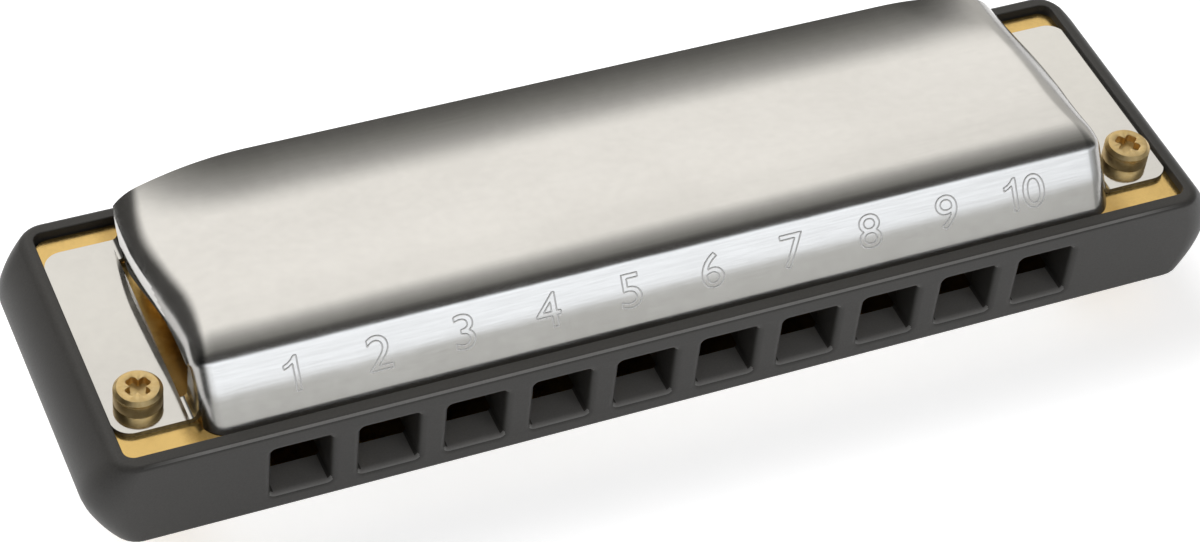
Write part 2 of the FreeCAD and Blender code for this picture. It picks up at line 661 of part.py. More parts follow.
def coverShape():
    """One cover over the comb's upper face, in the comb's frame"""
    thick = size("coverThickness")
    floor = cell(plateOuter) + size("domeLift")
    overrun = size("overrun")
    shell = domeSolid(0, floor, 0).cut(domeSolid(thick, floor - overrun, overrun))

    end = cell(domeHalf)
    front = size("flangeFront")
    rear = size("combDepth") - size("flangeRear")
    low, top = cell(plateOuter), cell(flangeOuter)
    radius = size("bendRadius")
    turnHeight = top + radius
    legs = ((front, front + size("frontLeg")), (rear - size("rearLeg"), rear))

    # The open window under each rolled end, and the wall cut back to where the legs bend out
    head = crownLine(end - thick - overrun, 0, low, size("windowDrop"))[0]
    fallEnd = head[-1].EndPoint
    head.append(Part.LineSegment(fallEnd, fallEnd + Vector(0, size("flareLength") + overrun, 0)))
    window = closedFace(head, low).extrude(Vector(thick + 2 * overrun, 0, 0))
    for y0, y1 in legs:
        window = window.cut(slab(end - thick - 2 * overrun, end + 2 * overrun, y0, y1, low, size("crownHeight")))
    wallFoot = slab(end - thick - overrun, end + overrun, front, size("combDepth"), low, turnHeight)

    # A leg's bend is a quarter ring between the wall and the flange
    centre = Vector(end + radius, 0, turnHeight)
    quarter = math.radians(45)

    def ringPoint(reach, angle):
        return centre + Vector(-reach * math.cos(angle), 0, -reach * math.sin(angle))

    inner = Part.Arc(ringPoint(radius, 0), ringPoint(radius, quarter), ringPoint(radius, 2 * quarter))
    outer = Part.Arc(ringPoint(radius + thick, 2 * quarter), ringPoint(radius + thick, quarter),
                     ringPoint(radius + thick, 0))
    ring = Part.Face(Part.Wire([inner.toShape(), Part.LineSegment(inner.EndPoint, outer.StartPoint).toShape(),
                                outer.toShape(),
                                Part.LineSegment(outer.EndPoint, inner.StartPoint).toShape()]))
    pieces = []
    for y0, y1 in legs:
        bent = ring.extrude(Vector(0, y1 - y0, 0))
        bent.translate(Vector(0, y0, 0))
        pieces.append(bent)

    flange = slab(end + radius, cell(flangeReach), front, rear, low, top)
    corners = [edge for edge in flange.Edges
               if edge.BoundBox.ZLength > tolerance and edge.BoundBox.XMin > end + 2 * radius]
    flange = flange.makeFillet(size("flangeCorner"), corners)
    hole = Part.makeCylinder(cell(holeRadius), top - low, Vector(cell(screwX), size("screwInset"), low))
    pieces.append(flange.cut(hole))

    middle = Vector(0, 0, 0)
    across = Vector(1, 0, 0)
    tools = [window, wallFoot]
    shell = shell.cut(tools + [tool.mirror(middle, across) for tool in tools])
    return shell.fuse(pieces + [piece.mirror(middle, across) for piece in pieces])


def makeCovers():
    upper = coverShape()
    lower = upper.mirror(Vector(0, 0, 0), Vector(0, 0, 1))
    for label, shape in (("upper_cover", upper), ("lower_cover", lower)):
        cover = doc.addObject("Part::Feature", label)
        cover.Shape = shape
        finishPiece(cover, label)


def blowRoot(index):
    return f"({reedStart} + Sizes.slotClearance)"


def drawRoot(index):
    return f"({slotRear(index)} - Sizes.slotClearance)"


def blowRivet(index):
    return f"({reedStart} - Sizes.padLength / 2)"


def drawRivet(index):
    return f"({slotRear(index)} + Sizes.padLength / 2)"


makeComb()
makePlate("blow_reed_plate", 1, blowRivet)
makePlate("draw_reed_plate", -1, drawRivet)
for i in holes:
    makeTongue(f"blow_reed_{i + 1}", i, blowRoot(i), plateFace, 1)
    makeTongue(f"draw_reed_{i + 1}", i, drawRoot(i), f"-{plateOuter}", -1)
makeReedFixings("blow", plateFace, blowRivet, "Sizes.padThickness + Sizes.plateThickness")
makeReedFixings("draw", f"-{plateOuter}", drawRivet, "Sizes.padThickness + Sizes.plateThickness")
makePlateScrews("blow_plate_screws", 1)
makePlateScrews("draw_plate_screws", -1)
makeCoverScrews()
makeCoverNuts()
makeCovers()

doc.recompute()
for item in doc.Objects:
    if "Invalid" in item.State or "Error" in item.State:
        raise RuntimeError(f"{item.Name} failed to build")
for item in subparts:
    if item.Shape.isNull() or not item.Shape.isValid():
        raise RuntimeError(f"{item.Label} has a bad shape")
os.makedirs("parts", exist_ok=True)
for item in subparts:
    item.Shape.exportStep(f"parts/{item.Label}.step")
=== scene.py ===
import math
import bmesh
import bpy
import numpy as np
from mathutils import Matrix, Vector


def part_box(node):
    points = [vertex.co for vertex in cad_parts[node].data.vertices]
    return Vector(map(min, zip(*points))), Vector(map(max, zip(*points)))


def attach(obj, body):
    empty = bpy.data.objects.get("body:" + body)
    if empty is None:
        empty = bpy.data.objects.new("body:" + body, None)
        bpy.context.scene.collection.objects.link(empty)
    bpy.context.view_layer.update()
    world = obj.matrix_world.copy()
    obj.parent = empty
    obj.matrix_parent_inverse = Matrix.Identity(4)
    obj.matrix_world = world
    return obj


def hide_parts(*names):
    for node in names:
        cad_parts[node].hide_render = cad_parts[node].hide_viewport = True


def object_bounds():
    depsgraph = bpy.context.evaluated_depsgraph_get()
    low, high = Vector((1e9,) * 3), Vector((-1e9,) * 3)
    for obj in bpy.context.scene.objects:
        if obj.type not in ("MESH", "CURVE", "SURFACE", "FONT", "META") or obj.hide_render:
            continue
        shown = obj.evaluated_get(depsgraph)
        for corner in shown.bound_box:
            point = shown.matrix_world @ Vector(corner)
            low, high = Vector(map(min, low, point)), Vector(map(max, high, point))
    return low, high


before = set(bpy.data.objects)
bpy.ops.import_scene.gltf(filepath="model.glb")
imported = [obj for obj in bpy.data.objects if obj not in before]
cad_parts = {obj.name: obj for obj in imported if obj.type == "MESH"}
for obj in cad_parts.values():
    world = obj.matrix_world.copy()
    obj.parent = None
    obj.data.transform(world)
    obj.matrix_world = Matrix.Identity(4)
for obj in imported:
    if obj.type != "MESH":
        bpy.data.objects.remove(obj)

# Ten-hole harmonica: smooth covers, moulded comb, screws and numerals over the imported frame
# Shapes are worked out in millimetres from the comb's front face and middle plane
mm = 0.001
cadBounds = [list(corner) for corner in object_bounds()]
combLow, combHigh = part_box("comb")
coverLow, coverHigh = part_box("upper_cover")
plateLow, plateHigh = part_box("blow_reed_plate")
frontY = combLow.y
midZ = (combLow.z + combHigh.z) / 2
plateOuter = (plateHigh.z - midZ) / mm
print("frame loaded")


def toFrame(x, y, z):
    # Millimetres from the comb's front face and middle plane to the frame's metres
    x, y, z = np.broadcast_arrays(x, y, z)
    return np.stack([x * mm, y * mm + frontY, z * mm + midZ], axis=-1)


# Meshes from grids of points
def gridQuads(rows, cols, wrapCols=False):
    # Each quad joins four neighbours of a grid whose points are numbered row by row
    i, j = np.meshgrid(np.arange(rows - 1), np.arange(cols if wrapCols else cols - 1), indexing="ij")
    beside = (j + 1) % cols
    corners = [i * cols + j, i * cols + beside, (i + 1) * cols + beside, (i + 1) * cols + j]
    return np.stack(corners, axis=-1).reshape(-1, 4)


def smoothShade(mesh, angle):
    mesh.polygons.foreach_set("use_smooth", np.ones(len(mesh.polygons), bool))
    mesh.set_sharp_from_angle(angle=math.radians(angle))
    mesh.update()


def pieceFromGrids(name, grids, sharp=40):
    # Grids are (points, wrapCols, caps). Caps close the first and last rows of a wrapped grid.
    points, faces, start = [], [], 0
    for grid, wrapCols, caps in grids:
        rows, cols = grid.shape[:2]
        points.append(grid.reshape(-1, 3))
        faces += (gridQuads(rows, cols, wrapCols) + start).tolist()
        if caps:
            faces.append((start + np.arange(cols)).tolist())
            faces.append((start + rows * cols - 1 - np.arange(cols)).tolist())
        start += rows * cols
    mesh = bpy.data.meshes.new(name)
    mesh.from_pydata(np.concatenate(points).tolist(), [], faces)
    smoothShade(mesh, sharp)
    piece = bpy.data.objects.new(name, mesh)
    bpy.context.scene.collection.objects.link(piece)
    return piece


def applyModifiers(piece):
    # Bakes the piece's modifiers into its mesh
    graph = bpy.context.evaluated_depsgraph_get()
    baked = bpy.data.meshes.new_from_object(piece.evaluated_get(graph))
    piece.modifiers.clear()
    old = piece.data
    piece.data = baked
    bpy.data.meshes.remove(old)


def dress(piece, node=None):
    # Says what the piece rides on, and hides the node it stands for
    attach(piece, "instrument")
    if node:
        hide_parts(node)


screwPlace = {"x": 45.0, "y": 7.3}      # both cover screws and their holes, mirrored over the middle

# Covers: one pressed sheet each
coverShape = {
    "thickness": 0.45,
    "slopeFootAngle": 57.9, "slopeHeadAngle": 51.5, "slopeTurn": 0.52, "slopeTurnWidth": 0.10,
    "shoulderAngle": 25.0, "shoulderRadius": 2.45,
    "crownStart": 8.08, "crownFrontRadius": 5.0, "crownLand": 2.0, "crownRearRadius": 20.0,
    "fallAngle": 12.0, "flareLength": 7.0, "flareTurn": 0.5, "flareDrop": 2.5, "flareFade": 11.7,
    "frontLift": 0.05, "halfLength": 41.2, "evenHalf": 28.0, "windowDrop": 2.2,
    # Beside the slope the ends' roll is narrow, and it widens over a length of the crown
    "slopeRoll": 2.1, "endRoll": 3.3, "rollChange": 8.0,
    # The ends reach further out from a place behind the front, over a depth
    "endReach": 1.1, "reachStart": 7.0, "reachChange": 15.0,
    "legs": ((4.05, 6.5), (22.6, 24.9)), "bendRadius": 0.6,
    "flangeCorner": 1.7, "holeRadius": 1.15, "sharpAngle": 40,
}


def coverSection(shape):
    # The sheet's line across the cover, as columns along its length q: y, the height z0 without the
    # flare's rise, the flare's own run t from nought to one, and the rates of z0 and y
    front, rear = (coverLow.y - frontY) / mm, (coverHigh.y - frontY) / mm
    crown = (coverHigh.z - midZ) / mm
    foot = front + 1j * (plateOuter + shape["frontLift"])
    fall = math.radians(shape["fallAngle"])

    def arc(centre, radius, start, end, count):
        turn = np.radians(np.linspace(start, end, count))
        return centre + radius * 1j * np.exp(1j * turn), turn

    frontCentre = shape["crownStart"] + 1j * (crown - shape["crownFrontRadius"])
    lean = math.radians(shape["shoulderAngle"])
    shoulderCentre = frontCentre + ((shape["crownFrontRadius"] - shape["shoulderRadius"])
                                    * 1j * np.exp(1j * lean))
    shoulder, shoulderTurn = arc(shoulderCentre, shape["shoulderRadius"],
                                 shape["slopeHeadAngle"], shape["shoulderAngle"], 22)
    crownFront, crownTurn = arc(frontCentre, shape["crownFrontRadius"], shape["shoulderAngle"], 0, 16)
    land = shape["crownStart"] + shape["crownLand"] * np.linspace(0.25, 0.75, 3) + 1j * crown
    rearCentre = shape["crownStart"] + shape["crownLand"] + 1j * (crown - shape["crownRearRadius"])
    crownRear, rearTurn = arc(rearCentre, shape["crownRearRadius"], 0, -shape["fallAngle"], 10)

    # The slope turns from its steep foot to its flatter head, then is scaled to meet both ends
    s = np.linspace(0, 1, 60)
    blend = 0.5 + 0.5 * np.tanh((s - shape["slopeTurn"]) / shape["slopeTurnWidth"])
    turn = np.radians(shape["slopeFootAngle"]
                      + blend * (shape["slopeHeadAngle"] - shape["slopeFootAngle"]))
    step = np.exp(1j * turn)
    path = np.concatenate([[0], np.cumsum((step[1:] + step[:-1]) / 2)])
    scale = (shoulder[0] - foot) / path[-1]
    slope = foot + path * scale
    turn = turn + np.angle(scale)

    flareY = rear - shape["flareLength"]
    fallEnd = flareY + 1j * (crownRear[-1].imag - (flareY - crownRear[-1].real) * math.tan(fall))
    fallLine = crownRear[-1] + (fallEnd - crownRear[-1]) * np.linspace(0.08, 1, 14)

    line = np.concatenate([slope[:-1], shoulder[:-1], crownFront, land, crownRear, fallLine])
    angle = np.concatenate([turn[:-1], shoulderTurn[:-1], crownTurn, 0 * land.real, rearTurn,
                            np.full(len(fallLine), -fall)])
    # The flare is a curve of three poles, with its middle pole on the fall line
    t = np.linspace(0, 1, 29)[1:]
    turnY, length = shape["flareTurn"] * shape["flareLength"], shape["flareLength"]
    middle = fallEnd.imag - turnY * math.tan(fall)
    flareBase = (1 - t) ** 2 * fallEnd.imag + 2 * (1 - t) * t * middle
    y = np.concatenate([line.real, flareY + 2 * (1 - t) * t * turnY + t ** 2 * length])
    section = {
        "y": y,
        "z0": np.concatenate([line.imag, flareBase]),
        "t": np.concatenate([np.zeros(len(line)), t]),
        "up": np.concatenate([np.tan(angle), 2 * (1 - t) * (middle - fallEnd.imag) - 2 * t * middle]),
        "along": np.concatenate([np.ones(len(line)), 2 * (1 - 2 * t) * turnY + 2 * t * length]),
        "flareZ": fallEnd.imag,
        "crown": crown,
    }
    heights = section["z0"] + section["t"] ** 2 * crown
    section["q"] = np.concatenate([[0], np.cumsum(np.hypot(np.diff(y), np.diff(heights)))])
    section["slopeLength"] = section["q"][len(slope) - 1]
    return section


def coverPoints(shape, section, q, x, inset=0.0):
    # A point at length q across the cover and at x along it, moved in square to the sheet. Near the
    # slope's foot it slides up the slope as it moves in, so the lower edge stays level. The flare's
    # rear edge falls with the square of the distance past the straight middle.
    q = q + inset / section["up"][0] * np.clip(1 - q / section["slopeLength"], 0, None)
    y, z0, t, up, along = (np.interp(q, section["q"], section[key])
                           for key in ("y", "z0", "t", "up", "along"))
    fade = shape["flareFade"]
    past = np.clip((np.abs(x) - (shape["halfLength"] - fade)) / fade, 0, None)
    rise = section["crown"] - shape["flareDrop"] * past ** 2
    angle = np.arctan((up + 2 * t * rise) / along)
    return y + inset * np.sin(angle), z0 + t ** 2 * rise - inset * np.cos(angle), angle


def easeIn(share):
    # From nought to one with no slope at either end: three times the square less twice the cube
    share = np.clip(share, 0, 1)
    return share * share * (3 - 2 * share)


def coverGrids(shape, section, side):
    # The dome is one grid: its columns follow the section, and its rows run from the middle to the
    # right end, round the roll and down the end wall to its window, then are mirrored
    q = section["q"]
    onCrown = easeIn((q - section["slopeLength"]) / shape["rollChange"])
    atRear = easeIn((section["y"] - shape["reachStart"]) / shape["reachChange"])
    roll = shape["slopeRoll"] + (shape["endRoll"] - shape["slopeRoll"]) * onCrown
    half = shape["halfLength"] + shape["endReach"] * atRear
    rollStart = half - roll
    evenEnd = shape["evenHalf"] + 0.5
    topX = np.concatenate([np.linspace(0, shape["evenHalf"], 22)[:, None] + 0 * q,
                           evenEnd + np.linspace(0, 1, 30)[:, None] * (rollStart - evenEnd)])
    y, z, angle = coverPoints(shape, section, q, half)
    windowZ = np.where(section["t"] > 0, section["flareZ"], z) - shape["windowDrop"]
    depth = (z - windowZ) * np.cos(angle)
    turned = np.arccos(1 - np.minimum(depth, roll) / roll)
    reach = roll * turned + np.clip(depth - roll, 0, None)
    run = reach * np.linspace(0, 1, 25)[1:, None]
    around = np.minimum(run / roll, math.pi / 2)
    endX = rollStart + roll * np.sin(around)
    endInset = roll * (1 - np.cos(around)) + np.clip(run - roll * math.pi / 2, 0, None)
    x = np.concatenate([topX, endX])
    inset = np.concatenate([0 * topX, endInset])
    y, z, _ = coverPoints(shape, section, q[None, :], x, inset)
    x = np.concatenate([-x[:0:-1], x])
    y = np.concatenate([y[:0:-1], y])
    z = np.concatenate([z[:0:-1], z])
    grids = [(toFrame(x, y, side * z), False, False)]

    # Legs run down from the wall's foot and bend out to the flange
    flangeTop = plateOuter + shape["thickness"]
    bend = shape["bendRadius"]
    turnZ = flangeTop + bend
    footX, footY, footZ = x[-1], y[-1], z[-1]
    half = shape["halfLength"]
    for end in (-1, 1):
        for y0, y1 in shape["legs"]:
            legY = np.linspace(y0, y1, 9)
            topZ = np.maximum(np.interp(legY, footY, footZ), turnZ + 0.02)
            topX = np.interp(legY, footY, footX)
            share = np.linspace(0, 1, 7)[:, None]
            downX = topX + (half - topX) * share
            downZ = topZ + (turnZ - topZ) * share
            sweep = np.linspace(0, math.pi / 2, 9)[1:, None] + 0 * legY
            legX = np.concatenate([downX, half + bend - bend * np.cos(sweep)])
            legZ = np.concatenate([downZ, turnZ - bend * np.sin(sweep)])
            grids.append((toFrame(end * legX, legY, side * legZ)[::end], False, False))

        # The flange is a ring of points between the screw hole and its rounded outline
        low, high = shape["legs"][0][0], shape["legs"][1][1]
        corner = shape["flangeCorner"]
        reachX = coverHigh.x / mm
        sweep = np.linspace(0, math.pi / 2, 9)
        outline = np.concatenate([
            np.linspace(half + bend, reachX - corner, 8)[:-1] + 1j * low,
            reachX - corner + 1j * (low + corner) + corner * np.exp(1j * (sweep - math.pi / 2)),
            reachX + 1j * np.linspace(low + corner, high - corner, 30)[1:-1],
            reachX - corner + 1j * (high - corner) + corner * np.exp(1j * sweep),
            np.linspace(reachX - corner, half + bend, 8)[1:] + 1j * high,
            half + bend + 1j * np.linspace(high, low, 30)[1:-1]])
        centre = screwPlace["x"] + 1j * screwPlace["y"]
        away = outline - centre
        hole = centre + shape["holeRadius"] * away / np.abs(away)
        ring = np.stack([hole, (outline + hole) / 2, outline])
        grids.append((toFrame(end * ring.real, ring.imag, side * flangeTop)[::end], True, False))
    return grids


def makeCover(name, node, side, shape, section):
    grids = coverGrids(shape, section, side)
    if side > 0:
        grids = [(grid[::-1], wrapCols, caps) for grid, wrapCols, caps in grids]
    cover = pieceFromGrids(name, grids, shape["sharpAngle"])
    cover.data.materials.append(coverSteel)
    cover.data.materials.append(flangeSteel)
    cover.data.materials.append(cutEdge)
    wall = cover.modifiers.new("wall", "SOLIDIFY")   # the sheet's thickness grows inwards
    wall.thickness = shape["thickness"] * mm
    wall.offset = -1
    wall.material_offset_rim = 2
    applyModifiers(cover)
    mesh = cover.data
    centres = np.empty(len(mesh.polygons) * 3)
    mesh.polygons.foreach_get("center", centres)
    index = np.empty(len(mesh.polygons), int)
    mesh.polygons.foreach_get("material_index", index)
    onFlange = np.abs(centres.reshape(-1, 3)[:, 0]) > (shape["halfLength"] + 0.05) * mm
    index[onFlange & (index == 0)] = 1
    mesh.polygons.foreach_set("material_index", index)
    smoothShade(mesh, shape["sharpAngle"])
    dress(cover, node)


# Comb: one moulded ring around two recesses, cut by its mouths and chambers
combShape = {
    "halfLength": 48.75, "endBulge": 2.5, "bulgePower": 1.8, "halfHeight": 4.5,
    "corner": 2.0, "cornerSpread": 0.5, "rounding": 0.45, "recessLip": 0.1,
    "recessHalf": 47.87, "recessFront": 1.35, "recessRear": 27.2, "recessCorner": 0.9,
    "recessFloor": 2.8,
    "mouths": 10, "pitch": 7.5, "mouthHalf": 2.55, "mouthHigh": 2.62, "mouthMiddle": -0.12,
    "mouthCorner": 0.42, "mouthLip": 0.6, "mouthFloor": 3.0,
    "chamberHalf": 2.65, "chamberEnds": (23.3, 17.7), "chamberReach": 3.4,
    "screwHole": 1.15, "holeReach": 4.0, "sharpAngle": 35,
    # The faces painted paler: the front's edges and lips as a painted highlight, the mouths' floors as
    # painted light. How far the edges' normals lean from -0.6 forwards, and where the edges and the
    # floors end sideways
    "highlightLean": 0.24, "highlightHalf": 46.6, "litFloorsHalf": 40.0,
}


def roundedLoop(half, front, rear, corner, straight=40, turn=8):
    # A rounded rectangle in plan: each point is a corner's centre plus that corner's radius at its
    # own angle, and along a side the centre runs from one corner to the next
    run, sweep = np.linspace(-1, 1, straight)[:-1], np.linspace(0, 90, turn)[:-1]
    still = np.ones(turn - 1)
    cx = np.concatenate([run, still, 0 * run + 1, still, -run, -still, 0 * run - 1, -still])
    cy = np.concatenate([0 * run - 1, -still, run, still, 0 * run + 1, still, -run, -still])
    angle = np.radians(np.concatenate([0 * run - 90, sweep - 90, 0 * run, sweep, 0 * run + 90,
                                       sweep + 90, 0 * run + 180, sweep + 180]))
    half, front, rear, corner = (np.reshape(value, (-1, 1)) for value in (half, front, rear, corner))
    x = cx * (half - corner) + corner * np.cos(angle)
    y = (front + rear) / 2 + cy * ((rear - front) / 2 - corner) + corner * np.sin(angle)
    return x, y


def combRows(shape):
    # The ring's profile from the upper recess floor over the rim, down the side and back inside. Its
    # ends swell towards the middle plane by a power of the height, and its corners widen with them.
    top, lip, rounding = shape["halfHeight"], shape["recessLip"], shape["rounding"]
    a = np.linspace(0, math.pi / 2, 6)
    b = np.linspace(0, math.pi / 2, 12)
    recessZ = np.concatenate([[shape["recessFloor"]], top - lip * (1 - np.sin(a))])
    widen = np.concatenate([[0], lip * (1 - np.cos(a))])
    outerZ = np.concatenate([top - rounding * (1 - np.cos(b)),
                             np.linspace(top - rounding, 0, 10)[1:]])
    inset = np.concatenate([rounding * (1 - np.sin(b)), np.zeros(9)])
    outerZ = np.concatenate([outerZ, -outerZ[-2::-1]])
    inset = np.concatenate([inset, inset[-2::-1]])
    bulge = shape["endBulge"] * (1 - np.abs(outerZ / top) ** shape["bulgePower"])
    depth = (combHigh.y - combLow.y) / mm
    outerX, outerY = roundedLoop(shape["halfLength"] + bulge - inset, inset, depth - inset,
                                 shape["corner"] + shape["cornerSpread"] * bulge - inset)
    recessX, recessY = roundedLoop(shape["recessHalf"] + widen, shape["recessFront"] - widen,
                                   shape["recessRear"] + widen, shape["recessCorner"] + widen)
    x = np.concatenate([recessX, outerX, recessX[::-1]])
    y = np.concatenate([recessY, outerY, recessY[::-1]])
    z = np.concatenate([recessZ, outerZ, -recessZ[::-1]])[:, None]
    return toFrame(x, y, z)[::-1]


def mouthCutter(shape, x):
    # A rounded square carried inwards. Its size swells by a quarter circle at the face, as the lip.
    lip = shape["mouthLip"]
    a = np.linspace(0, math.pi / 2, 9)
    end = shape["mouthFloor"] + shape["mouthCorner"]
    depth = np.concatenate([[-lip], lip * (1 - np.cos(a)), [end]])
    swell = np.concatenate([[lip], lip * (1 - np.sin(a)), [0]])
    high, middle = shape["mouthHigh"] + swell, shape["mouthMiddle"]
    across, up = roundedLoop(shape["mouthHalf"] + swell, middle - high, middle + high,
                             shape["mouthCorner"] + swell, straight=4, turn=9)
    return toFrame(x + across, depth[:, None], up), True, True


def chamberCutter(shape, x, rear):
    # A rounded rectangle in plan, through both recess floors
    across, y = roundedLoop([shape["chamberHalf"]] * 2, [shape["mouthFloor"]] * 2, [rear] * 2,
                            [shape["mouthCorner"]] * 2, straight=3, turn=5)
    reach = shape["chamberReach"]
    return toFrame(x + across, y, np.array([[reach], [-reach]])), True, True


def holeCutter(shape, side):
    a = np.linspace(0, 2 * math.pi, 49)[:-1]
    x = side * screwPlace["x"] + shape["screwHole"] * np.cos(a)
    y = screwPlace["y"] + shape["screwHole"] * np.sin(a)
    reach = shape["holeReach"]
    return toFrame(x, y, np.array([[reach], [-reach]])), True, True


def carve(piece, grids):
    tool = pieceFromGrids("carvingTool", grids)
    work = bmesh.new()
    work.from_mesh(tool.data)
    bmesh.ops.recalc_face_normals(work, faces=work.faces)
    work.to_mesh(tool.data)
    work.free()
    modifier = piece.modifiers.new("carve", "BOOLEAN")
    modifier.operation = "DIFFERENCE"
    modifier.solver = "EXACT"
    modifier.object = tool
    applyModifiers(piece)
    mesh = tool.data
    bpy.data.objects.remove(tool)
    bpy.data.meshes.remove(mesh)


def makeComb(shape):
    # The chambers are carved before the mouths, because the other order leaves open edges
    comb = pieceFromGrids("mouldedComb", [(combRows(shape), True, True)])
    mouthX = shape["pitch"] * (np.arange(shape["mouths"]) - (shape["mouths"] - 1) / 2)
    rears = np.linspace(*shape["chamberEnds"], shape["mouths"])
    carve(comb, [chamberCutter(shape, x, rear) for x, rear in zip(mouthX, rears)])
    carve(comb, [mouthCutter(shape, x) for x in mouthX])
    carve(comb, [holeCutter(shape, side) for side in (-1, 1)])
    comb.data.materials.clear()
    comb.data.materials.append(combPlastic)
    comb.data.materials.append(combPaintedLight)
    smoothShade(comb.data, shape["sharpAngle"])
    flat = comb.modifiers.new("flatFaces", "WEIGHTED_NORMAL")   # large faces keep the shading flat
    flat.keep_sharp = True
    applyModifiers(comb)
    # Painted highlight and painted light: the slanted faces of the front's edges and lips are paler and
    # smoother, and the mouths' floors are painted lighter as if lit
    count = len(comb.data.polygons)
    centres, normals = np.empty(count * 3), np.empty(count * 3)
    comb.data.polygons.foreach_get("center", centres)
    comb.data.polygons.foreach_get("normal", normals)
    centres, normals = centres.reshape(-1, 3) / mm, normals.reshape(-1, 3)
    inwards, side = centres[:, 1] - frontY / mm, np.abs(centres[:, 0])
    edges = ((inwards < shape["corner"] / 2) & (side < shape["highlightHalf"])
             & (np.abs(normals[:, 1] + 0.6) < shape["highlightLean"]) & (np.abs(normals[:, 2]) > 0.3))
    litFloors = ((inwards < shape["mouthFloor"]) & (side < shape["litFloorsHalf"])
              & (centres[:, 2] < midZ / mm) & (normals[:, 2] > 0.9))
    comb.data.polygons.foreach_set("material_index", (edges | litFloors).astype(int))
    dress(comb, "comb")


# Cover screws: a tall brass head with a rounded four-lobed recess
screwShape = {
    "headHeight": 1.6, "headRadius": 2.0, "bevel": 0.28, "crown": 1.7,
    "lobe": 1.16, "valley": 0.74, "square": 0.1, "driveDepth": 0.7, "grooveZ": 1.1, "grooveDepth": 0.05,
    "shankRadius": 1.0, "shankEnd": -5.75, "turns": {-1: 26.0, 1: 39.0}, "sharpAngle": 28,
}


def screwGrid(shape, side):
    # Rings from the middle of the recess out over the head and down the shank. In the recess a ring's
    # radius swells with the cosine of four times its angle, and a second wave squares the four lobes.
    angle = np.linspace(0, 2 * math.pi, 97)[:-1]
    high, radius, bevel = shape["headHeight"], shape["headRadius"], shape["bevel"]
    middle = (shape["lobe"] + shape["valley"]) / 2
    wave = (shape["lobe"] - shape["valley"]) / 2
    lobes = middle + wave * np.cos(4 * angle) - shape["square"] * np.cos(8 * angle)
    floor = high - shape["driveDepth"]
    recess = [(0.01, floor), (0.5, floor), (0.88, floor), (0.95, floor + 0.03), (0.98, floor + 0.1),
              (1.0, high - 0.07), (1.02, high - 0.02)]
    rings = [(share * lobes, z) for share, z in recess]
    rings.append((1.02 * lobes + 0.05, high))
    groove, cut = shape["grooveZ"], shape["grooveDepth"]
    shank = shape["shankRadius"]
    under = plateOuter + coverShape["thickness"]
    end = shape["shankEnd"] - under
    turned = [(shape["crown"] - 0.03, high), (shape["crown"] + 0.01, high - 0.01),
              (radius - 0.04, high - bevel + 0.01), (radius - 0.01, high - bevel - 0.02),
              (radius, high - bevel - 0.07), (radius, groove + 0.05), (radius - cut, groove + 0.02),
              (radius - cut, groove - 0.03), (radius - 0.01, groove - 0.06), (radius, 0.09),
              (radius - 0.03, 0.02), (radius - 0.08, 0.0), (shank, 0.0), (shank, end + 0.2),
              (shank - 0.18, end), (0.02, end)]
    rings += [(0 * lobes + r, z) for r, z in turned]
    r = np.stack([ring for ring, _ in rings])
    z = np.array([z for _, z in rings])[:, None]
    angle = angle + math.radians(shape["turns"][side])
    x = side * screwPlace["x"] + r * np.cos(angle)
    y = screwPlace["y"] + r * np.sin(angle)
    return toFrame(x, y, under + z)[::-1], True, True


def makeScrews(shape):
    grids = [screwGrid(shape, side) for side in (-1, 1)]
    screws = pieceFromGrids("brassScrews", grids, shape["sharpAngle"])
    screws.data.materials.append(screwBrass)
    dress(screws, "cover_screws")


# Numerals: the outline of each digit is a fine raised line on the slope
numeralShape = {
    "height": 2.9, "width": 1.12, "middle": 3.6, "first": -33.4, "pitch": 7.31, "advance": 0.52,
    "line": 0.075, "lineStep": 0.1, "lineRise": 0.25, "lift": 0.01, "sharpAngle": 60,
    "drawnHeight": 0.7,      # of the digits' outlines before they are scaled
    "one": (0.03, 0.115, 0.115 + 0.7j, 0.06 + 0.7j, 0.01 + 0.63j, -0.06 + 0.575j, -0.14 + 0.54j,
            -0.14 + 0.46j, -0.05 + 0.495j, 0.03 + 0.55j),
}


def digitOutlines(digit, shape):
    # The rings of one digit as across + i up. The one has its own outline, with a flag.
    if digit == "1":
        return [np.array(shape["one"])]
    curve = bpy.data.curves.new("digit", "FONT")
    curve.body = digit
    curve.align_x = "CENTER"
    curve.fill_mode = "NONE"
    line = bpy.data.objects.new("digit", curve)
    bpy.context.scene.collection.objects.link(line)
    bpy.context.view_layer.update()
    flat = bpy.data.meshes.new_from_object(line.evaluated_get(bpy.context.evaluated_depsgraph_get()))
    bpy.data.objects.remove(line)
    bpy.data.curves.remove(curve)
    coords = np.empty(len(flat.vertices) * 3)
    flat.vertices.foreach_get("co", coords)
    edges = np.empty(len(flat.edges) * 2, int)
    flat.edges.foreach_get("vertices", edges)
    bpy.data.meshes.remove(flat)
    outline = coords[0::3] + 1j * coords[1::3]
    return [outline[loop] for loop in edgeLoops(edges.reshape(-1, 2))]


